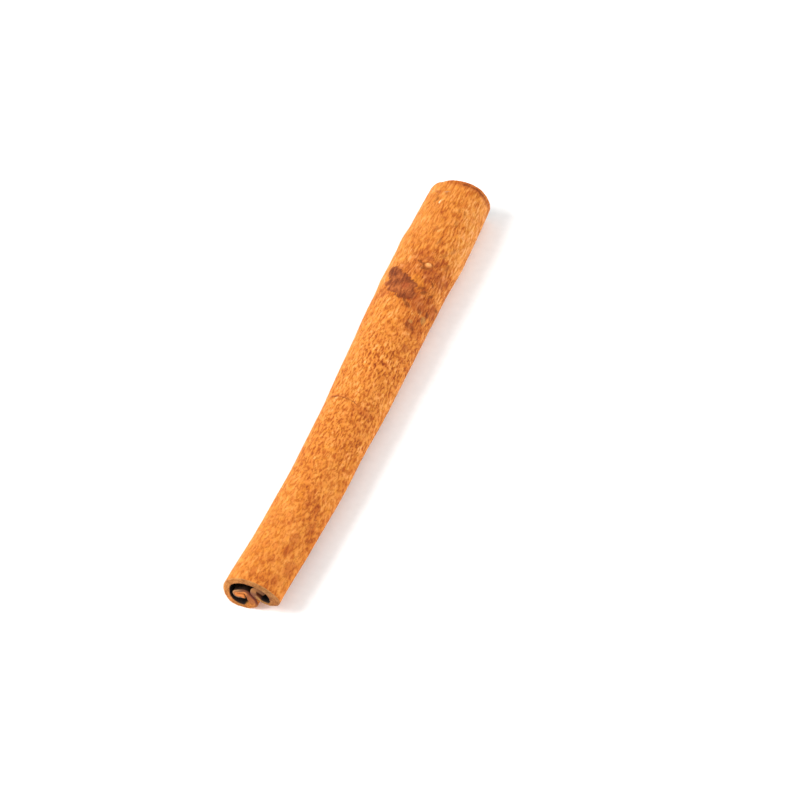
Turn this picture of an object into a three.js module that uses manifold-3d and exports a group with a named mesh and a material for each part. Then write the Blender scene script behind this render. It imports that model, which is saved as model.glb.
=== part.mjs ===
// Cinnamon stick, in millimetres, +Z up. One strip of cassia bark has rolled inwards from both of its
// long edges as it dried, so the stick is a double scroll: a smooth back on top, a roll on either side,
// and a seam between the rolls underneath. It lies along Y on its two rolls, with its back up. The
// origin is under the middle of the stick, on the surface that it lies on.
//
// The strip starts as a flat slab with one column of faces for each step round the rolls. Each of its
// corners is then moved to its place in the scroll.

import * as THREE from 'three';
import { mergeVertices } from 'three/addons/utils/BufferGeometryUtils.js';
import Module from 'manifold-3d';

// ---- Driving dimensions: lengths in mm, angles in degrees ----

const STICK_LENGTH = 80;
const BARK_THICKNESS = 0.8;
const LEFT_EDGE_THICKNESS = 0.55;
const RIGHT_EDGE_THICKNESS = 0.45;
const FEATHER_WIDTH = 3; // how far in from each long edge the bark thins
const WORN_FLAT = 0.12; // how much the undersides of the rolls are worn down where they lie

// A section is walked from the crown of the back towards each long edge, arc by arc. Each arc is
// [length along the middle of the bark, turn inwards].
const NEAR_SECTION = {
  crown: { x: -0.55, z: 4.78, slope: -2 },
  left: [
    [1.8, 33], // back
    [1.9, 57], // shoulder
    [2.45, 62], // flank
    [2.5, 68], // underside
    [0.9, 96], // lip of the seam
    [1.3, -12], // wall of the seam
    [1.95, 131], // inner curl
    [1.5, 180], // long edge, curled tight
  ],
  right: [
    [2.6, 33], // back
    [1.55, 6], // shoulder
    [1.05, 115], // flank, pinched
    [1.95, 62], // underside, tucked up
    [0.7, 2], // wall of the seam
    [0.7, 88], // inner curl
    [0.95, 119], // long edge
  ],
};
const FAR_SECTION = {
  crown: { x: -0.45, z: 5.37, slope: 6 },
  left: [
    [2.55, 22],
    [1.9, 39],
    [1.95, 54],
    [2.3, 69],
    [1.5, 57],
    [1.55, 35],
    [3.35, 158],
    [1.6, 98],
  ],
  right: [
    [2.7, 36],
    [1.85, 28],
    [3.5, 96],
    [2.55, 92],
    [2.05, 48],
    [1.2, 71],
    [2.05, 109],
  ],
};

// Between these two places along the stick the near section grows into the far one.
const GROWS_FROM = -30;
const GROWS_TO = 24;

// The stick is neither quite straight nor evenly wide. At evenly spaced places from the near end to
// the far one: how far it stands off to the right, and how much wider it is than its section.
const BOW = [0.15, 0.75, 0.89, 0.72, 0.49, 0.33, 0.11];
const FULLNESS = [1, 1, 1, 1.02, 1.03, 1.05, 1.01];

// Marks on the back. across is measured round the bark from the crown, to the right; along is measured
// from the middle of the stick towards its far end.
const SHOULDER_LUMP = { across: -4.6, along: 25.5, halfWidth: 2.4, halfLength: 5, height: 0.3 };
const WAIST_HOLLOW = { across: -3.4, along: -34, halfWidth: 2.5, halfLength: 6, height: -0.12 };
const CORK_FLAKE = { across: -0.9, along: 17.9, halfLength: 3.7, halfWidth: 1.8, slant: -48, height: 0.16 };
const FLAKE_RIM = { from: 0.75, to: 1.1 }; // its edge falls between these shares of its half width
const KNOT = { across: 1.4, along: 22, radius: 0.45, rise: 0.3, sides: 14, rings: 8 };
const RIPPLE = { height: 0.06, length: 17, width: 7, slant: 0.5, drift: 0.11 };
const RIPPLES_FADE_FROM = 6; // across: past here the bark turns under
const RIPPLES_END = 8.5;

// The sawn ends: how far each wanders from square, and the chip out of the far one.
const END_WANDER = 0.12;
const END_WAVE = 0.9; // radians of the wander to each mm round the bark
const END_DEPTH = 4; // how far from the end the rows still follow it
const RIM_CHIP = { across: -2.2, halfWidth: 1.2, depth: 0.4 };

// Steps of the slab: the columns go by the turn of the bark, and the rows lie closer near the flake.
const TURN_PER_COLUMN = 18;
const WIDEST_COLUMN = 0.8;
const ROW_SPANS = [
  { upTo: 12, rows: 14 },
  { upTo: 25, rows: 9 },
  { upTo: 40, rows: 5 },
];

const STRAIGHT = 1e-6; // a bend of fewer radians than this is none
const SAME_CORNER = 1e-4;

const { lerp, smoothstep, degToRad, clamp } = THREE.MathUtils;

// ---- The scroll's section ----

// How far the near section has grown into the far one, at a place along the stick.
function growth(along) {
  return smoothstep(along, GROWS_FROM, GROWS_TO);
}

// One side's arcs at a place along the stick.
function arcsAt(side, along) {
  const share = growth(along);
  return NEAR_SECTION[side].map(([length, turn], index) => {
    const [farLength, farTurn] = FAR_SECTION[side][index];
    return { length: lerp(length, farLength, share), turn: degToRad(lerp(turn, farTurn, share)) };
  });
}

// The crown of the back at a place along the stick.
function crownAt(along) {
  const share = growth(along);
  const near = NEAR_SECTION.crown;
  const far = FAR_SECTION.crown;
  return {
    x: lerp(near.x, far.x, share),
    z: lerp(near.z, far.z, share),
    slope: degToRad(lerp(near.slope, far.slope, share)),
  };
}

// Follows an arc that bends inwards and gives where it ends and which way it then heads.
function follow(from, length, turn) {
  const bend = turn / 2;
  const chord = Math.abs(bend) < STRAIGHT ? length : (length * Math.sin(bend)) / bend;
  const direction = from.heading - bend;
  return {
    x: from.x + chord * Math.cos(direction),
    z: from.z + chord * Math.sin(direction),
    heading: from.heading - turn,
  };
}

// The middle of the bark at a column: its place in the section and the way out of the bark there.
// The left side is walked as a right side and mirrored.
function middleOfBark(column, along) {
  const crown = crownAt(along);
  const mirror = column.side === 'left' ? -1 : 1;
  const arcs = arcsAt(column.side, along);
  let walker = { x: 0, z: 0, heading: crown.slope * mirror };
  let walked = 0;
  arcs.forEach(({ length, turn }, index) => {
    const part = clamp(column.arcs - index, 0, 1);
    walker = follow(walker, length * part, turn * part);
    walked += length * part;
  });
  const whole = arcs.reduce((sum, arc) => sum + arc.length, 0);
  return {
    x: crown.x + mirror * walker.x,
    z: crown.z + walker.z,
    outX: -mirror * Math.sin(walker.heading),
    outZ: Math.cos(walker.heading),
    across: mirror * walked,
    fromEdge: whole - walked,
  };
}

// How thick the bark is at a distance from its long edge.
function thickness(side, fromEdge) {
  const atEdge = side === 'left' ? LEFT_EDGE_THICKNESS : RIGHT_EDGE_THICKNESS;
  return lerp(atEdge, BARK_THICKNESS, smoothstep(fromEdge, 0, FEATHER_WIDTH));
}

// ---- The stick along its length ----

// A smooth curve through values at evenly spaced places, read at a place along the stick.
function alongStick(values) {
  const curve = new THREE.SplineCurve(values.map((value, index) => new THREE.Vector2(index, value)));
  return (along) => curve.getPoint(clamp(along / STICK_LENGTH + 0.5, 0, 1)).y;
}

const bowAt = alongStick(BOW);
const fullnessAt = alongStick(FULLNESS);

// ---- Relief of the bark ----

// A soft round hump that is one in its middle and nothing from its rim outwards.
function hump(distance) {
  return 1 - smoothstep(distance, 0, 1);
}

function lump(mark, across, along) {
  const sideways = (across - mark.across) / mark.halfWidth;
  const lengthways = (along - mark.along) / mark.halfLength;
  return mark.height * hump(Math.hypot(sideways, lengthways));
}

// The flake of outer cork that was left on: a low plateau that lies aslant on the back.
function flake(across, along) {
  const slant = degToRad(CORK_FLAKE.slant);
  const aside = across - CORK_FLAKE.across;
  const ahead = along - CORK_FLAKE.along;
  const lengthways = (aside * Math.cos(slant) + ahead * Math.sin(slant)) / CORK_FLAKE.halfLength;
  const sideways = (ahead * Math.cos(slant) - aside * Math.sin(slant)) / CORK_FLAKE.halfWidth;
  const fromMiddle = Math.hypot(sideways, lengthways);
  return CORK_FLAKE.height * (1 - smoothstep(fromMiddle, FLAKE_RIM.from, FLAKE_RIM.to));
}

// Low ripples that dried into the strip, out to where its two sides turn under.
function ripple(across, along) {
  const lengthways = Math.sin((2 * Math.PI * along) / RIPPLE.length + RIPPLE.slant * across);
  const sideways = Math.cos((2 * Math.PI * across) / RIPPLE.width - RIPPLE.drift * along);
  const fade = 1 - smoothstep(Math.abs(across), RIPPLES_FADE_FROM, RIPPLES_END);
  return RIPPLE.height * lengthways * sideways * fade;
}

// How far the whole thickness of the bark stands out of its section.
function swell(across, along) {
  return lump(SHOULDER_LUMP, across, along) + lump(WAIST_HOLLOW, across, along) + ripple(across, along);
}

// How far a point near either sawn end lies from a square cut, towards the middle of the stick.
function cutBack(across, along) {
  const nearEnd = smoothstep(Math.abs(along), STICK_LENGTH / 2 - END_DEPTH, STICK_LENGTH / 2);
  const wander = END_WANDER * (1 + Math.sin(END_WAVE * across + Math.sign(along)));
  const chip = RIM_CHIP.depth * hump(Math.abs(across - RIM_CHIP.across) / RIM_CHIP.halfWidth);
  return nearEnd * (wander + (along > 0 ? chip : 0));
}

// ---- The slab and its rolling ----

// The columns of one side, from the crown outwards. Each says how many arcs it lies along its side.
function columnsOf(side) {
  const columns = [];
  NEAR_SECTION[side].forEach(([length, turn], index) => {
    const [farLength, farTurn] = FAR_SECTION[side][index];
    const byTurn = Math.max(Math.abs(turn), Math.abs(farTurn)) / TURN_PER_COLUMN;
    const byLength = Math.max(length, farLength) / WIDEST_COLUMN;
    const steps = Math.ceil(Math.max(byTurn, byLength));
    for (let step = 1; step <= steps; step += 1) {
      columns.push({ side, arcs: index + step / steps });
    }
  });
  return columns;
}

// All the slab's columns from the left long edge to the right one.
function allColumns() {
  return [...columnsOf('left').reverse(), { side: 'left', arcs: 0 }, ...columnsOf('right')];
}

// Where a point of the slab lies in the scroll. through runs from -0.5 inside to 0.5 outside.
function rolled(column, along, through) {
  const middle = middleOfBark(column, along);
  const onFace = through > 0 ? flake(middle.across, along) : 0;
  const out = through * thickness(column.side, middle.fromEdge) + swell(middle.across, along) + onFace;
  const x = (middle.x + middle.outX * out) * fullnessAt(along) + bowAt(along);
  const y = along - Math.sign(along) * cutBack(middle.across, along);
  const z = middle.z + middle.outZ * out - WORN_FLAT;
  return new THREE.Vector3(x, y, Math.max(z, 0));
}

// Where each row of the slab lies along the stick, from the near end to the far one.
function rowPlaces() {
  const places = [-STICK_LENGTH / 2];
  ROW_SPANS.forEach(({ upTo, rows }) => {
    const from = places[places.length - 1];
    for (let row = 1; row <= rows; row += 1) {
      places.push(lerp(from, upTo, row / rows));
    }
  });
  return places;
}

// The bark, rolled: every corner of the slab counts its own column and row.
function rolledBark() {
  const columns = allColumns();
  const rows = rowPlaces();
  const width = columns.length - 1;
  const length = rows.length - 1;
  const slab = new THREE.BoxGeometry(width, length, 1, width, length, 1);
  const corners = slab.getAttribute('position');
  for (let index = 0; index < corners.count; index += 1) {
    const column = columns[Math.round(corners.getX(index) + width / 2)];
    const along = rows[Math.round(corners.getY(index) + length / 2)];
    const place = rolled(column, along, corners.getZ(index));
    corners.setXYZ(index, place.x, place.y, place.z);
  }
  return bare(slab);
}

// A geometry with nothing but its positions, and one corner where several met.
function bare(geometry) {
  geometry.deleteAttribute('normal');
  geometry.deleteAttribute('uv');
  return mergeVertices(geometry, SAME_CORNER);
}

// ---- The knot ----

// The column of the back that lies a distance to the right of the crown.
function columnAt(across, along) {
  const side = across < 0 ? 'left' : 'right';
  let left = Math.abs(across);
  let arcs = 0;
  arcsAt(side, along).forEach(({ length }) => {
    arcs += Math.min(left / length, 1);
    left = Math.max(left - length, 0);
  });
  return { side, arcs };
}

// A small round boss of wood, half sunk in the bark.
function knot() {
  const column = columnAt(KNOT.across, KNOT.along);
  const inside = rolled(column, KNOT.along, 0);
  const foot = rolled(column, KNOT.along, 0.5);
  const boss = new THREE.SphereGeometry(1, KNOT.sides, KNOT.rings);
  boss.rotateX(Math.PI / 2);
  boss.scale(KNOT.radius, KNOT.radius, KNOT.rise);
  const outwards = foot.clone().sub(inside).normalize();
  boss.applyQuaternion(new THREE.Quaternion().setFromUnitVectors(new THREE.Vector3(0, 0, 1), outwards));
  boss.translate(foot.x, foot.y, foot.z);
  return bare(boss);
}

// ---- Joining them ----

const wasm = await Module();
wasm.setup();

function solidOf(geometry) {
  const vertProperties = new Float32Array(geometry.getAttribute('position').array);
  const triVerts = new Uint32Array(geometry.getIndex().array);
  return new wasm.Manifold(new wasm.Mesh({ numProp: 3, vertProperties, triVerts }));
}

function geometryOf(solid) {
  const { vertProperties, triVerts } = solid.getMesh();
  const geometry = new THREE.BufferGeometry();
  geometry.setAttribute('position', new THREE.BufferAttribute(vertProperties, 3));
  geometry.setIndex(new THREE.BufferAttribute(triVerts, 1));
  geometry.computeVertexNormals();
  return geometry;
}

const bark = new THREE.Mesh(
  geometryOf(solidOf(rolledBark()).add(solidOf(knot()))),
  new THREE.MeshStandardMaterial({ color: 0xe98c42, roughness: 0.8, metalness: 0 }),
);
bark.name = 'rolled_bark';

const cinnamonStick = new THREE.Group();
cinnamonStick.add(bark);

export default cinnamonStick;
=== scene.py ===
"""A cassia cinnamon stick: one strip of bark, rolled inwards from both long edges into a double scroll.

The strip is modelled flat and then rolled, so the grain, the marks and the worn places are laid out on
the flat bark: across is measured round the bark from the crown of the back, to the right, and along from
the middle of the stick towards its far end. Sizes are in millimetres until a point goes into the mesh.
"""

import math

import bmesh
import bpy
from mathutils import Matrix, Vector, noise


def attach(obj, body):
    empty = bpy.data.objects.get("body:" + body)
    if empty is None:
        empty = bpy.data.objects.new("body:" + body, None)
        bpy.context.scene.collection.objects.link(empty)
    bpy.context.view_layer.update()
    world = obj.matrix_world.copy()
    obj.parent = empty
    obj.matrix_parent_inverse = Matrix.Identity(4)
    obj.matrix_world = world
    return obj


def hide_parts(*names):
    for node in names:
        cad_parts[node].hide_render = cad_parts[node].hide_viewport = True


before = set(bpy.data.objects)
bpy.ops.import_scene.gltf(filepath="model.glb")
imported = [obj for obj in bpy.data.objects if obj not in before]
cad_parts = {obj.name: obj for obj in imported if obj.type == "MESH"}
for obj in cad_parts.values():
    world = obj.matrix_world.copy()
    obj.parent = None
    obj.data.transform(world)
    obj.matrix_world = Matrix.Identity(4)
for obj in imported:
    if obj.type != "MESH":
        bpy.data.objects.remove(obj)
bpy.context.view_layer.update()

MM = 0.001

# ---- Camera: level with the horizon, looking down on the back from beyond the near end ----

VIEW_AZIMUTH = 19.79
VIEW_ELEVATION = 44.0
VIEW_DISTANCE = 400.0
AIM_ASIDE = 4.817  # how far the point looked at lies to the right of the frame's origin, in the view
AIM_ABOVE = -0.265
BOW_SHIFT = 0.17
SENSOR_WIDTH = 36.0
LENS = 135.84
CLIP_START = 10.0


def add_camera():
    azimuth, elevation = math.radians(VIEW_AZIMUTH), math.radians(VIEW_ELEVATION)
    back = Vector((
        math.sin(azimuth) * math.cos(elevation),
        -math.cos(azimuth) * math.cos(elevation),
        math.sin(elevation),
    ))
    right = Vector((math.cos(azimuth), math.sin(azimuth), 0))
    up = back.cross(right)
    aim = right * AIM_ASIDE + up * AIM_ABOVE + Vector((BOW_SHIFT, 0, 0))
    data = bpy.data.cameras.new("view")
    data.sensor_width = SENSOR_WIDTH
    data.lens = LENS
    data.clip_start = CLIP_START * MM
    camera = bpy.data.objects.new("view", data)
    camera.location = (aim + back * VIEW_DISTANCE) * MM
    camera.rotation_mode = "QUATERNION"
    camera.rotation_quaternion = (-back).to_track_quat("-Z", "Y")
    bpy.context.scene.collection.objects.link(camera)
    bpy.context.scene.camera = camera


# ---- Driving dimensions of the stick ----

LENGTH = 80.0
THICKNESS = 0.8
EDGE_THICKNESS = {"left": 0.55, "right": 0.45}
FEATHER_WIDTH = 3.0
WORN_FLAT = 0.12

# A section is walked from the crown of the back towards each long edge, arc by arc. Each arc is
# (length along the middle of the bark, turn inwards in degrees).
NEAR_SECTION = {
    "crown": (-0.55, 4.78, -2),  # x, z, slope
    "left": [
        (1.8, 33), (1.9, 57), (2.45, 62), (2.5, 68),
        (0.92, 102), (1.2, -12), (0.6, 76), (0.85, -4), (0.78, 176), (0.84, 4),
    ],
    "right": [(2.6, 33), (1.55, 6), (1.05, 115), (1.66, 53), (0.93, 0), (1.0, 104), (0.42, 72), (0.9, 22)],
}
FAR_SECTION = {
    "crown": (-0.45, 5.37, 6),
    "left": [
        (2.55, 22), (1.9, 39), (1.95, 54), (2.3, 69),
        (1.5, 57), (1.55, 35), (1.5, 71), (1.85, 87), (0.8, 49), (0.8, 49),
    ],
    "right": [(2.7, 36), (1.85, 28), (3.5, 96), (2.55, 92), (2.05, 48), (1.2, 71), (1.0, 53), (1.05, 56)],
}
GROWS_FROM, GROWS_TO = -30.0, 24.0  # between these the near section grows into the far one
ROLLED_IN = {"left": 5, "right": 4}  # from this arc on, the bark lies inside the scroll

# At the near end the bark isn't of one thickness: (distance round the bark from the crown, thickness).
NEAR_THICKNESS = {
    "left": [
        (0, 0.8), (4, 0.8), (5.2, 0.74), (7.5, 0.68), (8.4, 0.8), (9.2, 0.84),
        (10.0, 0.8), (11, 0.66), (12.0, 0.63), (13.3, 0.625), (14.0, 0.55),
    ],
    "right": [
        (0, 0.8), (2, 0.8), (3.3, 0.84), (4.6, 0.88), (5.6, 0.46),
        (7.0, 0.44), (7.8, 0.76), (8.5, 0.84), (8.9, 0.68), (9.3, 0.6), (10.1, 0.5),
    ],
}
NEAR_END_REACH = (-28.0, 10.0)  # between these the near end's thickness gives way to the usual one
BEND_FILL = {"left": (9.1, 2.2, 0.4), "right": (4.7, 1.9, 0.5)}  # from the crown, half width, how far

# At evenly spaced places along the stick: how far it stands off to the right, and its fullness.
BOW = [0.17, 0.77, 0.86, 0.72, 0.42, 0.38, 0.17]
FULLNESS = [1.03, 1.03, 1.02, 1.02, 1.035, 1.08, 1.022]

OUTER, INNER, CUT = 0, 1, 2  # the bark's material slots

# How the bark's mesh is divided.
BACK_ARCS = 3  # the first arcs of each side show most, and get the narrowest columns
BACK_COLUMN, INNER_COLUMN = 0.16, 0.30
TURN_PER_COLUMN = 12.0
ROW = 0.39
RIM_ROWS = [0.05, 0.13, 0.26]  # extra rows this far from either end
KNOT_ROWS = 0.13  # between the rows where they cross the knot
KNOT_ROWS_REACH = 1.5  # how far from its middle they go, in its radii
WALL_CUTS = 4


# ---- Curves and humps ----


def lerp(a, b, share):
    return a + (b - a) * share


def smoothstep(value, low, high):
    share = min(max((value - low) / (high - low), 0.0), 1.0)
    return share * share * (3 - 2 * share)


def spline_at(values, share):
    """A smooth curve through evenly spaced values, read at a share of its length."""
    place = share * (len(values) - 1)
    first = min(int(place), len(values) - 2)
    t = place - first
    before = values[max(first - 1, 0)]
    start, end = values[first], values[first + 1]
    after = values[min(first + 2, len(values) - 1)]
    leave, arrive = (end - before) / 2, (after - start) / 2
    return (
        (2 * start - 2 * end + leave + arrive) * t**3
        + (-3 * start + 3 * end - 2 * leave - arrive) * t**2
        + leave * t
        + start
    )


def hump(distance):
    """One at no distance, smoothly down to nothing at a distance of one."""
    return 1 - smoothstep(distance, 0, 1)


def along_keys(keys, value):
    """A value read between (place, value) keys, by straight lines."""
    for (start, low), (end, high) in zip(keys, keys[1:]):
        if value <= end:
            return lerp(low, high, max(value - start, 0) / (end - start))
    return keys[-1][1]


def lump(across, along, mark):
    at_across, at_along, half_width, half_length, height = mark
    return height * hump(math.hypot((across - at_across) / half_width, (along - at_along) / half_length))


# ---- The scroll ----


def growth(along):
    return smoothstep(along, GROWS_FROM, GROWS_TO)


def arc_steps(side):
    """How many columns each arc of a side is divided into."""
    steps = []
    for index, (near, far) in enumerate(zip(NEAR_SECTION[side], FAR_SECTION[side])):
        widest = BACK_COLUMN if index <= BACK_ARCS else INNER_COLUMN
        by_length = max(near[0], far[0]) / widest
        by_turn = max(abs(near[1]), abs(far[1])) / TURN_PER_COLUMN
        steps.append(math.ceil(max(by_length, by_turn)))
    return steps


STEPS = {"left": arc_steps("left"), "right": arc_steps("right")}


def walk(side, along):
    """The columns of one side at a place along the stick, from the crown to the long edge. Each is
    (x, z, out x, out z, across, how far it is rolled in, distance to the long edge), for the middle of
    the bark."""
    share = growth(along)
    crown_x, crown_z, slope = (lerp(n, f, share) for n, f in zip(NEAR_SECTION["crown"], FAR_SECTION["crown"]))
    mirror = -1 if side == "left" else 1
    x, z, heading, walked = 0.0, 0.0, math.radians(slope) * mirror, 0.0
    columns = [(crown_x, crown_z, -mirror * math.sin(heading), math.cos(heading), 0.0, 0.0)]
    for arc, (near, far, steps) in enumerate(zip(NEAR_SECTION[side], FAR_SECTION[side], STEPS[side])):
        length = lerp(near[0], far[0], share) / steps
        turn = math.radians(lerp(near[1], far[1], share)) / steps
        for step in range(steps):
            x += length * math.cos(heading - turn / 2)
            z += length * math.sin(heading - turn / 2)
            heading -= turn
            walked += length
            out = (-mirror * math.sin(heading), math.cos(heading))
            rolled_in = smoothstep(arc + (step + 1) / steps, ROLLED_IN[side], ROLLED_IN[side] + 1)
            columns.append((crown_x + mirror * x, crown_z + z, *out, mirror * walked, rolled_in))
    return [(*column, walked - abs(column[4])) for column in columns]


def section_at(along):
    """All the columns of the bark at a place along the stick, from the left long edge to the right."""
    return walk("left", along)[:0:-1] + walk("right", along)


# ---- Relief ----

# The lumps and hollows of the whole bark: (across, along, half width, half length, height)
LUMPS = [
    (-4.6, 28.6, 2.4, 3.0, 0.1), (-4.6, 19.6, 2.4, 4.0, 0.13), (6.6, 21.0, 2.6, 7.0, -0.24),
    (-6.2, -40.0, 2.4, 12.0, 0.22),
]
RIPPLE = {"height": 0.06, "length": 17, "width": 7, "slant": 0.5, "drift": 0.11}
RIPPLES_FADE = (6, 8.5)  # across: between these the bark turns under, and the ripples end

KNOT = {"across": 1.4, "along": 22.0, "radius": 0.4, "height": 0.3}
KNOT_MOAT = {"radius": 1.15, "half_width": 0.5, "height": -0.06}  # the first two in the knot's radii


def ripple(across, along):
    lengthways = math.sin(2 * math.pi * along / RIPPLE["length"] + RIPPLE["slant"] * across)
    sideways = math.cos(2 * math.pi * across / RIPPLE["width"] - RIPPLE["drift"] * along)
    return RIPPLE["height"] * lengthways * sideways * (1 - smoothstep(abs(across), *RIPPLES_FADE))


def swell(across, along):
    return sum(lump(across, along, mark) for mark in LUMPS) + ripple(across, along)


def knot(across, along):
    """The small round knot, with a shallow moat round it."""
    off = math.hypot(across - KNOT["across"], along - KNOT["along"]) / KNOT["radius"]
    moat = KNOT_MOAT["height"] * hump(abs(off - KNOT_MOAT["radius"]) / KNOT_MOAT["half_width"])
    return KNOT["height"] * math.sqrt(max(1 - off * off, 0)) + moat


# Noise on the flat bark: the width and length in mm of its cells, where it is cut from, how fast its finer
# layers fade, how much finer each of them is, and how many there are.
FIBRES = {"cell": (0.32, 1.5), "cut": 0.5, "fade": 0.6, "finer": 2.1, "layers": 3}
CRINKLES = {"cell": (0.42, 0.8), "cut": 9.0, "fade": 0.7, "finer": 2.0, "layers": 2}
FLAKE_RAG = {"cell": (0.6, 0.8), "cut": 3.7, "fade": 0.5, "finer": 2.0, "layers": 4}


def layered_noise(across, along, kind):
    width, length = kind["cell"]
    place = Vector((across / width, along / length, kind["cut"]))
    return noise.fractal(place, kind["fade"], kind["finer"], kind["layers"])


# The flake of outer cork: (across, along, half length, half width, slant in degrees)
FLAKE_LOBES = [
    (-0.4, 16.9, 2.3, 1.6, -56), (-1.7, 19.0, 2.2, 0.85, -56), (-2.3, 17.3, 0.6, 0.5, 0),
    (0.7, 15.8, 1.2, 0.9, -40), (-0.8, 18.1, 1.8, 1.2, -56),
]
FLAKE_HEIGHT = 0.1
FLAKE_EDGE = 0.08  # its edge is this soft, as a share of its half size
FLAKE_RAGGED_BY = 0.24
FAR_FROM_FLAKE = 3.0
FLAKE_SMOOTHS = 0.4  # how much of the grain it covers


def inside_flake(across, along):
    """How far inside the flake of outer cork a point lies, as a share of the flake's half size. Below
    nothing it is outside."""
    nearest = FAR_FROM_FLAKE
    for at_across, at_along, half_length, half_width, slant in FLAKE_LOBES:
        cos, sin = math.cos(math.radians(slant)), math.sin(math.radians(slant))
        aside, ahead = across - at_across, along - at_along
        lengthways = (aside * cos + ahead * sin) / half_length
        sideways = (ahead * cos - aside * sin) / half_width
        nearest = min(nearest, math.hypot(lengthways, sideways))
    return 1 - nearest - FLAKE_RAGGED_BY * layered_noise(across, along, FLAKE_RAG)


SWAY = {"most": 0.3, "cell": (1.3, 1.8), "cut": 5.0}  # how the fibres wander sideways
CRINKLED = {"middle": -3, "half_length": 18}  # the stretch of crinkled bark
FIBRES_SHARE = (0.85, 0.45)  # of the relief, outside that stretch and in its middle
CRINKLES_SHARE = (0.2, 0.6)
GRAIN_HEIGHT = (0.02, 0.034)  # towards the near end, and past it
SMOOTHER_END = (-36, -8)
TURNED_UNDER = (8.5, 11)  # across: past here the bark has turned under, and little of the grain is left
GRAIN_TURNED_UNDER = 0.35
INNER_GRAIN = {"from": 50, "share": 0.7}  # the inside has other fibres, which stand less high


def grain(across, along):
    """The fine relief of the bark, about -1 to 1: wavy fibres along the stick, crinkled in its middle."""
    width, length = SWAY["cell"]
    sway = SWAY["most"] * noise.noise(Vector((across / width, along / length, SWAY["cut"])))
    fibres = layered_noise(across + sway, along, FIBRES)
    crinkles = layered_noise(across, along, CRINKLES)
    crinkled = hump(abs(along - CRINKLED["middle"]) / CRINKLED["half_length"])
    return lerp(*FIBRES_SHARE, crinkled) * fibres + lerp(*CRINKLES_SHARE, crinkled) * crinkles


def grain_height(across, along):
    """How high the grain stands: less towards the near end, and little where the bark has turned under."""
    height = lerp(*GRAIN_HEIGHT, smoothstep(along, *SMOOTHER_END))
    return height * lerp(1, GRAIN_TURNED_UNDER, smoothstep(abs(across), *TURNED_UNDER))


# The crease across the middle of the back: where it crosses the crown, its slant, half its length, how
# wide and how high it is, how far off its groove lies and how far it wanders, in its widths.
CREASE = {
    "along": -6.2, "slant": -0.22, "half_length": 2.6, "width": 0.3, "height": 0.08,
    "groove": 1.6, "wander": 0.6, "wander_length": 0.7, "cut": 21.0,
}


def crease(across, along):
    """A fine raised wrinkle with a groove on its far side."""
    off = (along - CREASE["along"] - CREASE["slant"] * across) / CREASE["width"]
    wander = CREASE["wander"] * noise.noise(Vector((across / CREASE["wander_length"], 0.0, CREASE["cut"])))
    share = hump(abs(across) / CREASE["half_length"]) * CREASE["height"]
    return share * (math.exp(-(off - wander) ** 2) - math.exp(-(off - wander - CREASE["groove"]) ** 2))


END_DEPTH = 4  # how far from an end the bark still follows its cut
END_WAVE = 0.9  # radians of the cuts' wander to each mm round the bark
NEAR_WANDER, FAR_WANDER = 0.07, 0.08
FAR_SLANT = {"across": 0.9, "half_width": 6.5, "reach": 0.55}
RIM_CHIP = {"across": -2.2, "half_width": 1.2, "depth": 0.22}
SAW = {"reach": 0.3, "height": 0.05, "deepest": 0.04, "cell": 0.5, "fade": 0.7, "finer": 2.0, "layers": 3}
WORN_EDGE = {"depth": 0.07, "sharpness": 4}


def cut_back(across, along):
    """How far a point near a sawn end lies from a square cut, towards the middle of the stick."""
    near_end = smoothstep(abs(along), LENGTH / 2 - END_DEPTH, LENGTH / 2)
    if along < 0:
        return near_end * NEAR_WANDER * (1 + math.sin(END_WAVE * across - 1))
    slanted = FAR_SLANT["reach"] * hump(abs(across - FAR_SLANT["across"]) / FAR_SLANT["half_width"])
    chip = RIM_CHIP["depth"] * hump(abs(across - RIM_CHIP["across"]) / RIM_CHIP["half_width"])
    return near_end * (FAR_WANDER * (1 + math.sin(END_WAVE * across + 1)) + chip - slanted)


def sawn(across, along, through):
    """The saw's fine roughness on a cut face, and the worn edge round it, also towards the middle."""
    at_end = smoothstep(abs(along), LENGTH / 2 - SAW["reach"], LENGTH / 2)
    place = Vector((across / SAW["cell"], through * 2, along))
    rough = SAW["height"] * noise.fractal(place, SAW["fade"], SAW["finer"], SAW["layers"])
    worn = WORN_EDGE["depth"] * max(2 * through, 0) ** WORN_EDGE["sharpness"]
    return at_end * (max(rough, -SAW["deepest"]) + SAW["deepest"] + worn)


# ---- The bark ----


def row_places():
    """Where the rows of the mesh lie along the stick."""
    half = LENGTH / 2
    inner = half - RIM_ROWS[-1]
    reach = KNOT["radius"] * KNOT_ROWS_REACH
    stops = [(-inner, ROW), (KNOT["along"] - reach, KNOT_ROWS), (KNOT["along"] + reach, ROW), (inner, 0)]
    middle = [inner]
    for (start, gap), (end, _) in zip(stops, stops[1:]):
        count = round((end - start) / gap)
        middle += [lerp(start, end, index / count) for index in range(count)]
    near_rim = [-half] + [place - half for place in RIM_ROWS[:-1]]
    return near_rim + sorted(middle) + [-place for place in reversed(near_rim)]


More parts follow.
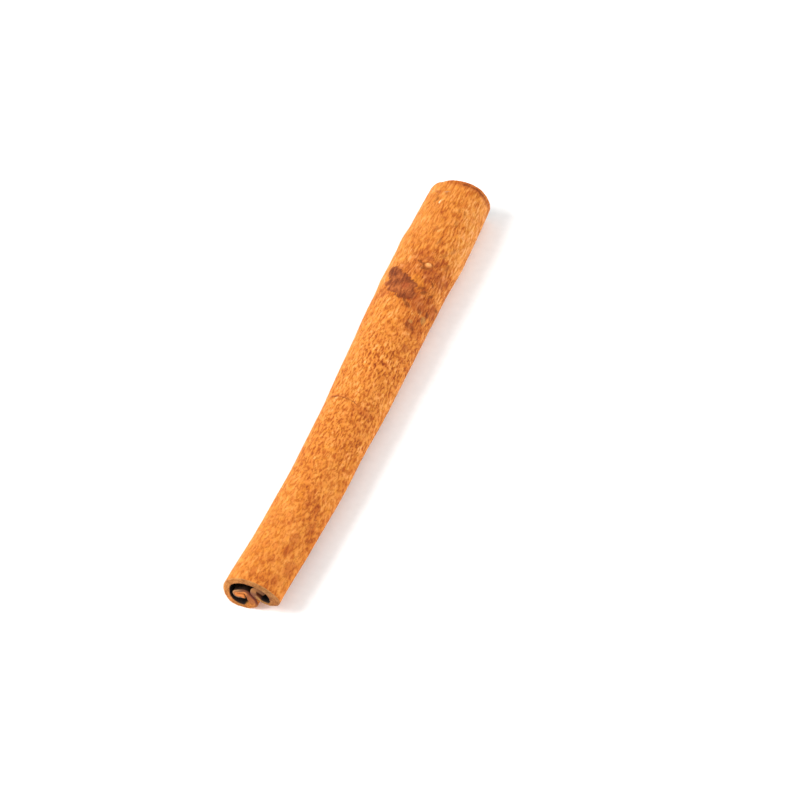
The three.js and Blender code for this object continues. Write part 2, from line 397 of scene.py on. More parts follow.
def flat_strip(columns, rows):
    """A flat slab of the bark with one vertex for each column and row, on both faces, and its edges
    divided through the thickness. x and y count the columns and rows, z runs from -0.5 to 0.5."""
    bark = bmesh.new()
    bmesh.ops.create_grid(bark, x_segments=columns - 1, y_segments=rows - 1, size=0.5)
    bmesh.ops.translate(bark, verts=bark.verts, vec=(0.5, 0.5, -0.5))
    bmesh.ops.scale(bark, verts=bark.verts, vec=(columns - 1, rows - 1, 1))
    inner = set(bark.faces)
    made = bmesh.ops.extrude_face_region(bark, geom=list(bark.faces))["geom"]
    outer_verts = [item for item in made if isinstance(item, bmesh.types.BMVert)]
    outer = {item for item in made if isinstance(item, bmesh.types.BMFace)}
    bmesh.ops.translate(bark, verts=outer_verts, vec=(0, 0, 1))
    for face in bark.faces:
        face.material_index = OUTER if face in outer else INNER if face in inner else CUT
        face.smooth = True
    through = [edge for edge in bark.edges if abs(edge.verts[0].co.z - edge.verts[1].co.z) > 0.5]
    bmesh.ops.subdivide_edges(bark, edges=through, cuts=WALL_CUTS, use_grid_fill=True)
    bmesh.ops.recalc_face_normals(bark, faces=bark.faces)
    return bark


def out_of_middle(across, along, through, from_edge):
    """How far a point lies from the middle of the bark, towards its outside."""
    side = "left" if across < 0 else "right"
    usual = through * lerp(EDGE_THICKNESS[side], THICKNESS, smoothstep(from_edge, 0, FEATHER_WIDTH))
    at_near_end = THICKNESS / 2 - (0.5 - through) * along_keys(NEAR_THICKNESS[side], abs(across))
    return lerp(at_near_end, usual, smoothstep(along, *NEAR_END_REACH))


def bend_fill(across, along, through):
    """How far the inside of each roll's sharp bend lies to the left, as the near end is thick there."""
    middle, half_width, most = BEND_FILL["left" if across < 0 else "right"]
    share = hump(abs(abs(across) - middle) / half_width) * (1 - smoothstep(along, *NEAR_END_REACH))
    return (0.5 - through) * most * share


OUTER_PART = (0.3, 0.5)  # through the bark: from here to its outer face, the outside's relief sets in


def place_on_stick(column, along, through):
    """A point of the strip in the scroll, in metres, with how high the grain is there and how far
    inside the flake it lies."""
    x, z, out_x, out_z, across, _, from_edge = column
    outside = smoothstep(through, *OUTER_PART)
    if through > 0:
        height = grain(across, along)
    else:
        height = grain(across + INNER_GRAIN["from"], along) * INNER_GRAIN["share"]
    inside = inside_flake(across, along)
    flake = smoothstep(inside, -FLAKE_EDGE, FLAKE_EDGE)
    relief = height * grain_height(across, along) * (1 - FLAKE_SMOOTHS * flake)
    out = out_of_middle(across, along, through, from_edge) + swell(across, along)
    out += relief * 2 * through * abs(2 * through)
    out += outside * crease(across, along)
    out += outside * (flake * FLAKE_HEIGHT + knot(across, along))
    share = along / LENGTH + 0.5
    y = along - math.copysign(1, along) * (cut_back(across, along) + sawn(across, along, through))
    x -= bend_fill(across, along, through)
    place = Vector((
        (x + out_x * out) * spline_at(FULLNESS, share) + spline_at(BOW, share),
        y,
        max(z + out_z * out - WORN_FLAT, 0),
    ))
    return place * MM, height, inside


def rolled_bark():
    """The strip of bark, rolled. Its flat place, its grain, its flake and how far it is rolled in are kept
    for the materials."""
    rows = row_places()
    sections = [section_at(along) for along in rows]
    strip = flat_strip(len(sections[0]), len(rows))
    flat_place = strip.verts.layers.float_vector.new("flat_place")
    grain_layer = strip.verts.layers.float.new("grain")
    flake_layer = strip.verts.layers.float.new("flake")
    rolled_in_layer = strip.verts.layers.float.new("rolled_in")
    for vertex in strip.verts:
        index, row, through = round(vertex.co.x), round(vertex.co.y), vertex.co.z
        column, along = sections[row][index], rows[row]
        vertex.co, vertex[grain_layer], vertex[flake_layer] = place_on_stick(column, along, through)
        vertex[flat_place] = Vector((column[4], along, (0.5 - through) * THICKNESS))
        vertex[rolled_in_layer] = column[5]
    mesh = bpy.data.meshes.new("rolled_bark_skin")
    strip.to_mesh(mesh)
    strip.free()
    piece = bpy.data.objects.new("cinnamon_bark", mesh)
    bpy.context.scene.collection.objects.link(piece)
    return piece


# ---- Materials ----

# The sockets of a Mix node that mixes colours, and its setting.
SHARE, UNDER, OVER, MIXED = 0, 6, 7, 2
COLOURS = {"data_type": "RGBA"}
SMOOTH = {"interpolation_type": "SMOOTHSTEP"}


def linear(hex_colour):
    """An sRGB hex colour as the linear colour that a shader takes."""
    channels = [int(hex_colour[index:index + 2], 16) / 255 for index in (1, 3, 5)]
    return (*(c / 12.92 if c <= 0.04045 else ((c + 0.055) / 1.055) ** 2.4 for c in channels), 1)


def add(tree, kind, inputs=(), output=0, stops=(), **settings):
    """Adds a shader node with its settings and links, and gives back one of its outputs. inputs gives the
    sockets values or links, in their order or by name or number. stops are a colour ramp's, each
    (place, hex colour)."""
    made = tree.nodes.new("ShaderNode" + kind)
    for name, value in settings.items():
        setattr(made, name, value)
    for socket, value in inputs.items() if isinstance(inputs, dict) else enumerate(inputs):
        if isinstance(value, bpy.types.NodeSocket):
            tree.links.new(value, made.inputs[socket])
        else:
            made.inputs[socket].default_value = value
    elements = made.color_ramp.elements if stops else []
    while len(elements) < len(stops):
        elements.new(0.5)
    for element, (place, colour) in zip(elements, stops):
        element.position = place
        element.color = linear(colour)
    return made.outputs[output]


def fresh_material(name, roughness, ior):
    material = bpy.data.materials.new(name)
    material.use_nodes = True
    tree = material.node_tree
    shader = tree.nodes["Principled BSDF"]
    shader.inputs["Roughness"].default_value = roughness
    shader.inputs["IOR"].default_value = ior
    return material, tree, shader


def pattern(tree, place, size, offset=(0, 0, 0), detail=3.0, rough=0.55):
    """Cloudy noise on the flat bark. size is the width, length and depth in mm of one of its cells."""
    scale = tuple(1 / side for side in size)
    cells = add(tree, "Mapping", {"Vector": place, "Location": offset, "Scale": scale})
    return add(tree, "TexNoise", {"Vector": cells, "Scale": 1.0, "Detail": detail, "Roughness": rough})


SPOT_EDGE = (0.45, 1.25)  # a spot fades out between these shares of its half size


def off_spot(tree, place, centre, half_size, slant=0):
    """How far off the middle of a spot on the flat bark, as a share of its half size."""
    if slant:
        turn = {"Vector": place, "Center": (*centre, 0), "Angle": -math.radians(slant)}
        place = add(tree, "VectorRotate", turn, rotation_type="Z_AXIS")
    shares = tuple(1 / half for half in half_size)
    middle = tuple(at * share for at, share in zip(centre, shares))
    shrunk = add(tree, "VectorMath", (place, (*shares, 0)), operation="MULTIPLY")
    return add(tree, "VectorMath", (shrunk, (*middle, 0)), "Value", operation="DISTANCE")


def spot(tree, place, centre, half_size, strength=1.0):
    """A soft spot on the flat bark: its strength in its middle, nothing outside."""
    off = off_spot(tree, place, centre, half_size)
    return add(tree, "MapRange", (off, *SPOT_EDGE, strength, 0.0), **SMOOTH)


RAGGED_LENGTH = 0.6  # the ragged bits are longer than wide: their width over their length


def ragged(tree, place, size, most):
    """The flat place pushed about by noise, so that the outlines drawn with it are ragged. size is the
    width of the ragged bits in mm, and most is how far they reach."""
    scale = (1 / size, RAGGED_LENGTH / size, 0)
    cells = add(tree, "Mapping", {"Vector": place, "Scale": scale})
    clouds = add(
        tree, "TexNoise", {"Vector": cells, "Scale": 1.0, "Detail": 3.0, "Roughness": 0.6}, "Color")
    centred = add(tree, "VectorMath", (clouds, (0.5, 0.5, 0.5)), operation="SUBTRACT")
    return add(tree, "VectorMath", (centred, (2 * most,) * 3, place), operation="MULTIPLY_ADD")


# Stains, which tint the bark: (tint, strength, [((across, along), (half width, half length), slant), ...])
BARK_STAINS = [
    ("#CC9A7E", 0.5, [  # skin stained brown behind the flake and round the knot, and a band at the far rim that is partly stain, partly painted shade where the edge turns down to the cut
        ((2.6, 15.0), (2.3, 3.0), -50), ((1.6, 17.0), (1.6, 2.0), 0), ((2.8, 20.8), (2.6, 3.4), 0),
        ((3.2, 11.0), (1.8, 2.2), 0), ((0.6, 23.0), (2.0, 2.6), 0), ((-2.4, 15.4), (1.2, 1.4), 0),
        # painted shade: the band at (1.8, 39.4) darkens the far rim, partly stain, partly shade where the
        # edge turns down
        ((1.8, 39.4), (3.6, 0.8), 0), ((-0.4, 20.4), (2.6, 2.0), 0),
    ]),
    ("#CC9A7E", 0.4, [  # round the crease
        ((-1.4, -5.5), (1.4, 0.5), 10), ((1.5, -6.9), (1.3, 0.7), 10), ((2.6, -7.0), (1.0, 1.0), 0),
    ]),
    ("#CC9A7C", 0.5, [  # the near third's soft mottles
        ((1.2, -35.4), (0.5, 0.9), 0), ((2.2, -32.9), (0.5, 1.4), 0), ((2.3, -30.8), (0.5, 1.6), 0),
        ((2.8, -38.0), (0.6, 1.3), 0), ((2.8, -25.1), (0.5, 1.1), 0), ((1.5, -24.2), (0.45, 1.8), 0),
        ((0.3, -38.4), (0.4, 1.0), 0), ((1.0, -28.4), (0.4, 1.0), 0), ((3.4, -28.0), (0.5, 1.4), 0),
        ((3.6, -35.2), (0.7, 1.4), 0),
    ]),
]

# Marks, which cover the bark: (colour, strength, places as above)
BARK_MARKS = [
    ("#DA8428", 0.5, [((1.0, 18.6), (0.8, 1.5), 40)]),  # fresh skin beside the flake
    ("#98441A", 0.5, [  # red-brown cork left in the pits
        ((2.6, 14.6), (1.4, 1.2), -50), ((4.7, 15.3), (0.8, 1.6), 0), ((1.3, 23.3), (0.6, 0.5), 0),
        ((2.2, 21.3), (0.9, 0.45), -10), ((3.2, 20.6), (0.7, 0.8), 0), ((3.9, 19.8), (0.6, 0.5), 0),
        ((4.5, 21.0), (0.5, 0.8), 0), ((2.3, 23.0), (0.4, 0.8), 0), ((-2.2, 37.7), (0.5, 0.4), 0),
        ((4.4, 39.1), (1.4, 0.5), 0), ((-1.8, -5.6), (0.6, 0.2), 0), ((-0.6, -5.7), (0.9, 0.16), 10),
        ((2.8, 10.4), (0.8, 0.9), 0), ((1.7, 15.8), (1.2, 0.7), -50), ((3.4, 6.6), (0.5, 0.7), 0),
        # painted shade: the band at (2.0, 39.4) on the far rim is partly cork, partly shade where the edge
        # turns down to the cut
        ((2.2, 19.3), (0.5, 0.6), 0), ((2.0, 39.4), (2.2, 0.35), 0), ((1.8, 20.4), (0.7, 0.9), 30),
    ]),
    ("#74340A", 0.7, [  # dark cork, and the dark line of the crease
        ((1.1, 14.0), (0.3, 1.3), 41), ((2.45, 16.9), (0.25, 0.6), -30),
        ((5.2, 16.3), (0.4, 0.4), 0), ((2.5, 10.3), (0.35, 0.5), 0), ((3.25, 10.2), (0.3, 0.5), 0),
        ((1.2, 21.25), (0.7, 0.4), 0), ((0.8, 21.9), (0.22, 0.5), 0), ((0.35, 22.3), (0.22, 0.6), 50),
        ((1.1, 39.4), (0.5, 0.3), 0), ((2.8, 39.4), (1.2, 0.22), 0),
        ((0.6, 15.0), (0.25, 0.7), 41), ((4.2, 14.0), (0.3, 0.5), 20), ((2.9, 19.0), (0.25, 0.6), 30),
        ((3.0, 13.6), (0.3, 0.6), 20), ((3.4, 17.0), (0.25, 0.7), -20), ((1.9, 17.4), (0.2, 0.6), -30),
        ((-1.7, -5.75), (0.7, 0.12), 8), ((-0.3, -5.9), (0.7, 0.1), -8), ((0.9, -6.3), (0.5, 0.1), -20),
    ]),
    ("#8E4A18", 0.5, [  # flecks between the fibres, and a painted shadow beside the pale chip
        ((1.2, 27.0), (0.25, 0.9), 0), ((3.3, 26.8), (0.25, 0.8), 0), ((2.1, 31.6), (0.25, 0.9), 0),
        # painted shadow: the fleck at (-1.7, 35.8) is the shadow beside the pale chip
        ((2.6, 34.2), (0.25, 0.7), 0), ((1.8, 34.4), (0.22, 0.6), 0), ((-1.7, 35.8), (0.25, 0.8), -10),
        ((-0.8, 37.3), (0.2, 0.5), 0), ((0.2, 29.4), (0.22, 0.8), 0), ((2.6, 25.0), (0.25, 0.9), 0),
        ((3.5, 23.4), (0.3, 0.8), 0),
    ]),
    ("#B88444", 0.6, [((2.6, 11.2), (0.4, 0.4), 0), ((4.0, 12.8), (0.45, 0.7), 0)]),  # lichen
    ("#F6D0A0", 0.9, [((-1.1, 35.3), (0.17, 0.5), -10)]),  # a pale chip
    ("#C08A62", 0.6, [((-0.9, 37.5), (0.5, 0.14), 0)]),  # a worn scratch
]
MARKS_RAGGED = (0.5, 0.45)  # the width of the ragged bits of their outlines, and how far these reach
FAR_FROM_SPOTS = 10.0


def with_marks(tree, place, colour, marks, how):
    """Lays marks over a colour."""
    pushed = ragged(tree, place, *MARKS_RAGGED)
    for hex_colour, strength, places in marks:
        nearest = FAR_FROM_SPOTS
        for centre, half_size, slant in places:
            off = off_spot(tree, pushed, centre, half_size, slant)
            nearest = add(tree, "Math", (nearest, off), operation="MINIMUM")
        share = add(tree, "MapRange", (nearest, *SPOT_EDGE, strength, 0.0), **SMOOTH)
        layers = {SHARE: share, UNDER: colour, OVER: linear(hex_colour)}
        colour = add(tree, "Mix", layers, MIXED, blend_type=how, **COLOURS)
    return colour


# The patterns of the outside: the width, length and depth in mm of their cells. A strand is a bundle of
# fibres. Single fibres, 0.03 mm wide, are too fine to show.
BLOTCHES = (3.5, 8.0, 5.0)
MOTTLES = (1.0, 1.7, 1.5)
STRANDS = (0.22, 1.3, 0.6)
SHORT_STRANDS = (0.25, 0.82, 0.5)
HUES = (0.7, 1.3, 1.0)
SWAY_WIDTH, SWAY_REACH = 1.6, 0.22  # how wide the bends of the strands are, and how far they reach
STRANDED = (2.0, 18.0)  # along: between these the crinkled skin gives way to long strands
GROOVE_AT, GROOVE_EDGE = 0.45, (0.0, 0.04, 1.0, 0.0)  # grooves follow one level of the strands' noise

BARK_COLOURS = [(0.05, "#722B08"), (0.3, "#A85115"), (0.5, "#C46E22"), (0.68, "#D9883A"), (0.92, "#F2B070")]
BARK_HUES = [(0.36, "#FFF6FF"), (0.5, "#FFFFFF"), (0.64, "#FFFFDC")]

# How much each thing adds to how pale the skin is, and how far it rises in the bump, in mm.
TONE = {
    "strands": 0.45, "grooves": -0.05, "grain": 0.22, "mottles": 0.36, "blotches": 0.4,
    "far right light": 0.12, "middle left shade": -0.09,
}
RISE = {"strands": 0.08, "grooves": -0.03, "mottles": 0.05}
STRANDS_LEVEL = 0.4  # where the strands' noise adds nothing
DARK_STRANDS = (0.32, 0.52, -0.24, 0.0)  # the lower strands are darker still

# How strongly the strands show: from and to a place along or across, or a level of the blotches, and the
# strength at each.
COARSE_NEAR = (-34.0, 4.0, 0.52, 0.92)
COARSE_FAR = (20.0, 28.0, 1.1, 0.7)
COARSE_ACROSS = (-3.5, 2.0, 0.7, 1.15)
COARSE_BLOTCHES = (0.38, 0.62, 1.2, 0.8)

BASE_TONE_AND_LEFT_LIGHT = (-4.5, 1.5, 0.66, 0.55)  # the skin's own tone, with painted light making it paler towards the left
FAR_RIGHT_LIGHT_ALONG, FAR_RIGHT_LIGHT_ACROSS = (18.0, 30.0), (0.5, 4.0)  # painted light: paler skin, right of the far end
SHADE_OFF_MIDDLE, SHADE_ACROSS = (12.0, 24.0, 1.0, 0.0), (-4.5, -1.5, 1.0, 0.0)  # painted shade: the middle's left is darkened where the light falls strongest


def bark_tone(tree, across, along, strands, grooves, mottles, blotches):
    """How pale the skin is, from 0 to 1: by its strands, which show less at the near end and on the left,
    by painted light on the left and right of the far end, by painted shade on the middle's left, and by its
    mottles and blotches."""
    lifted = add(tree, "Math", (strands, STRANDS_LEVEL), operation="SUBTRACT")
    lifted = add(tree, "Math", (lifted, TONE["strands"]), operation="MULTIPLY")
    dark = add(tree, "MapRange", (strands, *DARK_STRANDS), **SMOOTH)
    tone = add(tree, "Math", (lifted, dark), operation="ADD")
    tone = add(tree, "Math", (grooves, TONE["grooves"], tone), operation="MULTIPLY_ADD")
    height = add(tree, "Attribute", output="Fac", attribute_name="grain")
    tone = add(tree, "Math", (height, TONE["grain"], tone), operation="MULTIPLY_ADD")

    coarse = add(tree, "MapRange", (along, *COARSE_NEAR), **SMOOTH)
    for value, steps in ((along, COARSE_FAR), (across, COARSE_ACROSS), (blotches, COARSE_BLOTCHES)):
        strength = add(tree, "MapRange", (value, *steps), **SMOOTH)
        coarse = add(tree, "Math", (coarse, strength), operation="MULTIPLY")
    tone = add(tree, "Math", (tone, coarse), operation="MULTIPLY")

    # painted light: the skin's tone rises towards the left, where the light falls
    base_and_left_light = add(tree, "MapRange", (across, *BASE_TONE_AND_LEFT_LIGHT), **SMOOTH)
    tone = add(tree, "Math", (tone, base_and_left_light), operation="ADD")
    off_middle = add(tree, "Math", (along,), operation="ABSOLUTE")
    # painted light paler right of the far end, and painted shade darker on the middle's left
    for lengthways, length_steps, width_steps, reason in (
        (along, FAR_RIGHT_LIGHT_ALONG, FAR_RIGHT_LIGHT_ACROSS, "far right light"),
        (off_middle, SHADE_OFF_MIDDLE, SHADE_ACROSS, "middle left shade"),
    ):
        by_length = add(tree, "MapRange", (lengthways, *length_steps), **SMOOTH)
        by_width = add(tree, "MapRange", (across, *width_steps), **SMOOTH)
        share = add(tree, "Math", (by_length, by_width), operation="MULTIPLY")
        tone = add(tree, "Math", (share, TONE[reason], tone), operation="MULTIPLY_ADD")
    for clouds, name in ((mottles, "mottles"), (blotches, "blotches")):
        centred = add(tree, "Math", (clouds, 0.5), operation="SUBTRACT")
        tone = add(tree, "Math", (centred, TONE[name], tone), operation="MULTIPLY_ADD")
    return tone


CORK_COLOURS = [(0.3, "#703010"), (0.5, "#90461C"), (0.7, "#B46430")]
CORK_TORN_BY = 0.7  # how far the strands tear its edge and streak it
CORK_EDGE = (-0.04, 0.04)  # inside the flake, as the next
CORK_RIM, RIM_IN_PLACES = (0.02, 0.16, 1.0, 0.0), (0.4, 0.56, 0.6, 0.0)  # the second goes by the mottles


def with_cork_flake(tree, colour, strands, mottles):
    """Lays the flake of outer cork over a colour: red-brown, torn along the strands, with a dark rim in
    places."""
    torn = add(tree, "Math", (strands, 0.5), operation="SUBTRACT")
    tear = add(tree, "Math", (torn, CORK_TORN_BY), operation="MULTIPLY")
    inside = add(tree, "Attribute", output="Fac", attribute_name="flake")
    inside = add(tree, "Math", (inside, tear), operation="ADD")
    tone = add(tree, "Math", (torn, CORK_TORN_BY, mottles), operation="MULTIPLY_ADD")
    cork = add(tree, "ValToRGB", (tone,), stops=CORK_COLOURS)
    share = add(tree, "MapRange", (inside, *CORK_EDGE), **SMOOTH)
    colour = add(tree, "Mix", {SHARE: share, UNDER: colour, OVER: cork}, MIXED, **COLOURS)
    off_rim = add(tree, "Math", (inside,), operation="ABSOLUTE")
    rim = add(tree, "MapRange", (off_rim, *CORK_RIM), **SMOOTH)
    in_places = add(tree, "MapRange", (mottles, *RIM_IN_PLACES), **SMOOTH)
    rim = add(tree, "Math", (rim, in_places), operation="MULTIPLY")
    return add(tree, "Mix", {SHARE: rim, UNDER: colour, OVER: linear("#6A2E10")}, MIXED, **COLOURS)


def dried_cassia_bark():
    """The outside of dried cassia bark, scraped of its cork: a matt, fibrous orange skin, mottled with
    red-brown where the scraper left some cork in its pits, with wavy strands of fibre along the stick and
    thin dark grooves between them. Rolled inside the scrolls, painted shade darkens it almost to black."""
    material, tree, shader = fresh_material("dried_cassia_bark", roughness=0.75, ior=1.45)
    place = add(tree, "Attribute", output="Vector", attribute_name="flat_place")
    across = add(tree, "SeparateXYZ", (place,), "X")
    along = add(tree, "SeparateXYZ", (place,), "Y")

    swayed = ragged(tree, place, SWAY_WIDTH, SWAY_REACH)
    blotches = pattern(tree, place, BLOTCHES, detail=2)
    mottles = pattern(tree, place, MOTTLES, offset=(7, 0, 0))
    long_strands = pattern(tree, swayed, STRANDS, offset=(0, 5, 0))
    crinkles = pattern(tree, swayed, SHORT_STRANDS, offset=(3, 0, 0))
    stranded = add(tree, "MapRange", (along, *STRANDED), **SMOOTH)
    longer = add(tree, "Math", (long_strands, crinkles), operation="SUBTRACT")
    strands = add(tree, "Math", (stranded, longer, crinkles), operation="MULTIPLY_ADD")
    off_groove = add(tree, "Math", (strands, GROOVE_AT), operation="SUBTRACT")
    off_groove = add(tree, "Math", (off_groove,), operation="ABSOLUTE")
    grooves = add(tree, "MapRange", (off_groove, *GROOVE_EDGE), **SMOOTH)

    tone = bark_tone(tree, across, along, strands, grooves, mottles, blotches)
    colour = add(tree, "ValToRGB", (tone,), stops=BARK_COLOURS)
    hues = pattern(tree, place, HUES, offset=(0, 0, 9), detail=5, rough=0.75)
    tints = add(tree, "ValToRGB", (hues,), stops=BARK_HUES)
    layers = {SHARE: 1.0, UNDER: colour, OVER: tints}
    colour = add(tree, "Mix", layers, MIXED, blend_type="MULTIPLY", **COLOURS)
    colour = with_marks(tree, place, colour, BARK_STAINS, "MULTIPLY")
    colour = with_marks(tree, place, colour, BARK_MARKS, "MIX")
    colour = with_cork_flake(tree, colour, long_strands, mottles)
    knot_middle = (KNOT["across"], KNOT["along"])
    for share, paint in (
        (spot(tree, place, (0.1, 16.9), (0.6, 0.7), 0.3), "#B85228"),  # redder cork in the flake's middle
        (spot(tree, place, knot_middle, (0.72, 0.72), 0.6), "#84400E"),
        (spot(tree, place, knot_middle, (0.42, 0.42)), "#E89C58"),
        # painted shade: the outer skin rolled inside the scrolls is darkened almost to black, where the rolls
        # lie in shade
        (add(tree, "Attribute", output="Fac", attribute_name="rolled_in"), "#2E1A10"),
    ):
        colour = add(tree, "Mix", {SHARE: share, UNDER: colour, OVER: linear(paint)}, MIXED, **COLOURS)

    tree.links.new(colour, shader.inputs["Base Color"])
    shader.inputs["Specular IOR Level"].default_value = 0.22
    shader.inputs["Sheen Weight"].default_value = 0.07
    shader.inputs["Sheen Roughness"].default_value = 0.4
    shader.inputs["Sheen Tint"].default_value = linear("#FFC888")
    rise = add(tree, "Math", (mottles, RISE["mottles"]), operation="MULTIPLY")
    rise = add(tree, "Math", (strands, RISE["strands"], rise), operation="MULTIPLY_ADD")
    rise = add(tree, "Math", (grooves, RISE["grooves"], rise), operation="MULTIPLY_ADD")
    bump = add(tree, "Bump", {"Height": rise, "Distance": MM, "Strength": 1.0})
    tree.links.new(bump, shader.inputs["Normal"])
    return material


# The inside's patterns, in mm as above, its colours, dark brown darkened almost to black by painted shade,
# and how far from an end the saw's dust reaches.
INNER_LINES = (0.22, 5.0, 0.5)
INNER_CLOUDS = (2.0, 4.0, 1.0)
INNER_COLOURS_AND_SHADE = [(0.3, "#0E0806"), (0.5, "#180E0A"), (0.7, "#261810")]
DUST_REACH, DUST = 0.3, 0.4
CLOUDS_WEIGHT = 0.8  # beside the finer pattern, here and on the sawn face

# Painted light on the inside at the near end, lifting its painted shade where light reaches in: (across, half
# size, colour). The first is the bend of the left roll, then the fold in its curl and the bend of the right
# roll.
INNER_PAINTED_LIGHT = [
    (-8.3, (0.8, 1.6), "#A0641C"), (-12.8, (1.9, 1.6), "#D07A34"), (7.7, (0.7, 1.4), "#6A3008"),
]


def inner_bark():
    """The inside of the bark: dark brown, with painted shade darkening it almost to black, smooth, with fine
    lines along the stick, and dusted by the saw close to the ends."""
    material, tree, shader = fresh_material("inner_cassia_bark", roughness=0.65, ior=1.45)
    place = add(tree, "Attribute", output="Vector", attribute_name="flat_place")
    along = add(tree, "SeparateXYZ", (place,), "Y")
    lines = pattern(tree, place, INNER_LINES)
    clouds = pattern(tree, place, INNER_CLOUDS, offset=(0, 0, 4))
    centred = add(tree, "Math", (clouds, 0.5), operation="SUBTRACT")
    tone = add(tree, "Math", (centred, CLOUDS_WEIGHT, lines), operation="MULTIPLY_ADD")
    colour = add(tree, "ValToRGB", (tone,), stops=INNER_COLOURS_AND_SHADE)
    off_middle = add(tree, "Math", (along,), operation="ABSOLUTE")
    dust = add(tree, "MapRange", (off_middle, LENGTH / 2 - DUST_REACH, LENGTH / 2, 0.0, DUST), **SMOOTH)
    colour = add(tree, "Mix", {SHARE: dust, UNDER: colour, OVER: linear("#6A4020")}, MIXED, **COLOURS)
    for across, half_size, lit_colour in INNER_PAINTED_LIGHT:
        # painted light on the inside at the near end
        bend = spot(tree, place, (across, -LENGTH / 2), half_size)
        colour = add(tree, "Mix", {SHARE: bend, UNDER: colour, OVER: linear(lit_colour)}, MIXED, **COLOURS)
    tree.links.new(colour, shader.inputs["Base Color"])
    bump = add(tree, "Bump", {"Height": lines, "Distance": 0.05 * MM})
    tree.links.new(bump, shader.inputs["Normal"])
    return material


# The sawn face's patterns, in mm as above. They are coarser than its real grains of about 0.1 mm, which
# are too fine to show.
SAWN_GRAINS = (0.2, 0.3, 0.14)
SAWN_CLOUDS = (0.9, 0.9, 0.5)
SAWN_COLOURS = [(0.25, "#894A10"), (0.5, "#B66F2A"), (0.72, "#D08B46")]
LINING, OUTER_EDGE = (0.5, 0.8, 0.0, 0.3), (0.0, 0.16, 0.5, 0.0)  # from and to a depth, share at each

# How the rim's sawn face is tinted, from one end of it round the bark to the other, palest in its first third
# and darker towards the right. A tint.
RIM_START, RIM_WIDTH = -9.5, 17
RIM_TINTS = [
    (0.02, "#DBC9C1"), (0.07, "#FFF4C7"), (0.15, "#EDF2E4"), (0.235, "#FFF6F4"), (0.32, "#FAFBF9"),
    (0.56, "#E3E3E3"), (0.65, "#D8DBDE"), (0.735, "#CEDAF3"), (0.85, "#D8D1DC"), (0.93, "#D8EBFC"),
]

# The torn curls: where their colours start and end, across.
LEFT_CURL, RIGHT_CURL = (-14.2, -8.8), (7.2, 10.2)
LEFT_CURL_SHARE, RIGHT_CURL_SHARE = (-9.8, -8.8, 0.85, 0.0), (7.2, 8.0, 0.0, 0.8)
# the left curl's own orange and brown, with painted shade darkening the top of its tongue (0.56) and painted
# light lifting its far end (0.06)
LEFT_CURL_COLOURS_AND_LIGHT = [
    (0.06, "#D07430"), (0.28, "#A0602E"), (0.4, "#7C5434"), (0.56, "#582A12"), (0.72, "#7C4018"),
    (0.9, "#945020"),
]
RIGHT_CURL_COLOURS = [
    (0.1, "#70402A"), (0.3, "#744228"), (0.5, "#9A6232"), (0.75, "#6E3810"), (0.9, "#502202"),
]

# On the left curl's section: its pale tip, the grey bark under that, and the orange heart of its fold.
TIP, TIP_DEPTH = (-12.0, -11.6, 1.0, 0.0), (0.08, 0.26, 0.55, 0.0)
UNDER_TIP, UNDER_TIP_DEPTH = ((-13.0, -LENGTH / 2), (0.5, 1.0)), (0.16, 0.36, 0.95, 0.0)
HEART, HEART_DEPTH = (-10.9, -10.3, 0.85, 0.0), (0.36, 0.54)

# Painted shade on both sides of the seam between the curls, where the rolls meet.
SEAM_SHADE_SIDES = [((-10.0, -LENGTH / 2), (1.2, 1.0)), ((7.4, -LENGTH / 2), (0.9, 1.0))]
SEAM_SHADE_DEPTH = (0.12, 0.34, 1.0, 0.0)


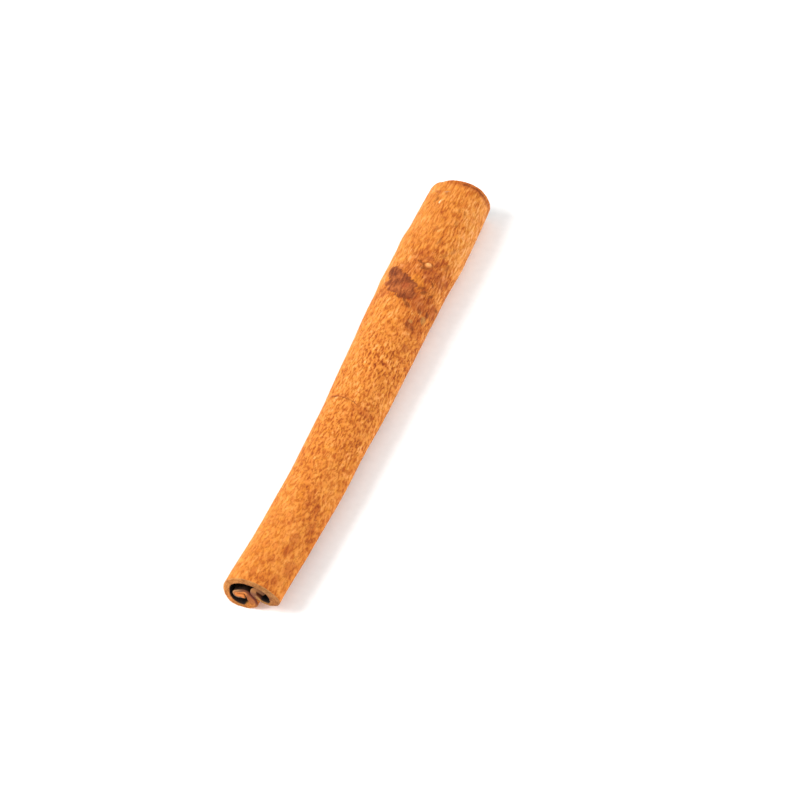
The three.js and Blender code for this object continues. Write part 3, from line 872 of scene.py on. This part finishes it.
def sawn_bark():
    """The sawn section of the bark: dusty tan-brown, grainy, paler along its worn outer edge and redder
    towards its lining. The curls, which the saw tore, are more orange."""
    material, tree, shader = fresh_material("sawn_cassia_bark", roughness=0.85, ior=1.45)
    place = add(tree, "Attribute", output="Vector", attribute_name="flat_place")
    across = add(tree, "SeparateXYZ", (place,), "X")
    depth = add(tree, "SeparateXYZ", (place,), "Z")
    grains = pattern(tree, place, SAWN_GRAINS, rough=0.6)
    clouds = pattern(tree, place, SAWN_CLOUDS, offset=(3, 0, 0))
    centred = add(tree, "Math", (clouds, 0.5), operation="SUBTRACT")
    tone = add(tree, "Math", (centred, CLOUDS_WEIGHT, grains), operation="MULTIPLY_ADD")
    colour = add(tree, "ValToRGB", (tone,), stops=SAWN_COLOURS)
    for through, paint in ((LINING, "#965224"), (OUTER_EDGE, "#D09457")):
        share = add(tree, "MapRange", (depth, *through), **SMOOTH)
        colour = add(tree, "Mix", {SHARE: share, UNDER: colour, OVER: linear(paint)}, MIXED, **COLOURS)
    round_rim = add(tree, "Math", (across, -RIM_START), operation="ADD")
    round_rim = add(tree, "Math", (round_rim, RIM_WIDTH), operation="DIVIDE")
    rim_tint = add(tree, "ValToRGB", (round_rim,), stops=RIM_TINTS)
    layers = {SHARE: 1.0, UNDER: colour, OVER: rim_tint}
    colour = add(tree, "Mix", layers, MIXED, blend_type="MULTIPLY", **COLOURS)

    place_in_curl = add(tree, "MapRange", (across, *LEFT_CURL), **SMOOTH)
    curl = add(tree, "ValToRGB", (place_in_curl,), stops=LEFT_CURL_COLOURS_AND_LIGHT)
    share = add(tree, "MapRange", (across, *LEFT_CURL_SHARE), **SMOOTH)
    colour = add(tree, "Mix", {SHARE: share, UNDER: colour, OVER: curl}, MIXED, **COLOURS)
    for shape, through, paint in (
        (add(tree, "MapRange", (across, *TIP), **SMOOTH), TIP_DEPTH, "#A87C4C"),
        (spot(tree, place, *UNDER_TIP), UNDER_TIP_DEPTH, "#5C5040"),
        (add(tree, "MapRange", (across, *HEART), **SMOOTH), HEART_DEPTH, "#D07A34"),
    ):
        deep = add(tree, "MapRange", (depth, *through), **SMOOTH)
        share = add(tree, "Math", (shape, deep), operation="MULTIPLY")
        colour = add(tree, "Mix", {SHARE: share, UNDER: colour, OVER: linear(paint)}, MIXED, **COLOURS)
    place_in_curl = add(tree, "MapRange", (across, *RIGHT_CURL), **SMOOTH)
    curl = add(tree, "ValToRGB", (place_in_curl,), stops=RIGHT_CURL_COLOURS)
    share = add(tree, "MapRange", (across, *RIGHT_CURL_SHARE), **SMOOTH)
    colour = add(tree, "Mix", {SHARE: share, UNDER: colour, OVER: curl}, MIXED, **COLOURS)

    # painted shade in the seam where the two rolls meet
    left, right = (spot(tree, place, *side) for side in SEAM_SHADE_SIDES)
    seam = add(tree, "Math", (left, right), operation="MAXIMUM")
    outer_skin = add(tree, "MapRange", (depth, *SEAM_SHADE_DEPTH), **SMOOTH)
    seam = add(tree, "Math", (seam, outer_skin), operation="MULTIPLY")
    colour = add(tree, "Mix", {SHARE: seam, UNDER: colour, OVER: linear("#5A1A00")}, MIXED, **COLOURS)
    tree.links.new(colour, shader.inputs["Base Color"])
    bump = add(tree, "Bump", {"Height": grains, "Distance": 0.08 * MM})
    tree.links.new(bump, shader.inputs["Normal"])
    return material


FIBRES_PER_METRE = 900.0  # far coarser than a card's real fibres, which are too fine to show


def studio_paper():
    """Seamless white card: matt, with hardly any texture at this distance."""
    material, tree, shader = fresh_material("white_card", roughness=0.9, ior=1.45)
    place = add(tree, "TexCoord", output="Object")
    fibre = add(tree, "TexNoise", {"Vector": place, "Scale": FIBRES_PER_METRE, "Detail": 3.0})
    colour = add(tree, "ValToRGB", (fibre,), stops=[(0.3, "#F4F3F2"), (0.7, "#F8F7F6")])
    tree.links.new(colour, shader.inputs["Base Color"])
    return material


# ---- Floor and light, in metres and watts ----

FLOOR_HALF = 2.0
SURROUNDING_LIGHT = 0.72
SOFT_BOXES = [("key", (-0.5, -0.25, 0.42), 0.42, 5.4), ("fill", (0.5, -0.1, 0.3), 0.5, 2.0)]


def add_floor():
    sheet = bmesh.new()
    bmesh.ops.create_grid(sheet, x_segments=1, y_segments=1, size=FLOOR_HALF)
    mesh = bpy.data.meshes.new("floor")
    sheet.to_mesh(mesh)
    sheet.free()
    mesh.materials.append(studio_paper())
    floor = bpy.data.objects.new("floor", mesh)
    bpy.context.scene.collection.objects.link(floor)


def add_soft_box(name, place, size, power):
    """A round soft box that faces the stick."""
    data = bpy.data.lights.new(name, "AREA")
    data.shape = "DISK"
    data.size = size
    data.energy = power
    light = bpy.data.objects.new(name, data)
    light.location = place
    light.rotation_mode = "QUATERNION"
    light.rotation_quaternion = (-Vector(place)).to_track_quat("-Z", "Y")
    bpy.context.scene.collection.objects.link(light)


def light_the_studio():
    world = bpy.data.worlds.new("studio")
    world.use_nodes = True
    background = world.node_tree.nodes["Background"]
    background.inputs["Color"].default_value = (1, 1, 1, 1)
    background.inputs["Strength"].default_value = SURROUNDING_LIGHT
    bpy.context.scene.world = world
    for soft_box in SOFT_BOXES:
        add_soft_box(*soft_box)
    bpy.context.scene.view_settings.view_transform = "Standard"


# ---- The scene ----

add_camera()
add_floor()
light_the_studio()

bark_piece = rolled_bark()
for finish in (dried_cassia_bark(), inner_bark(), sawn_bark()):
    bark_piece.data.materials.append(finish)
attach(bark_piece, "root")
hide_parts("rolled_bark")
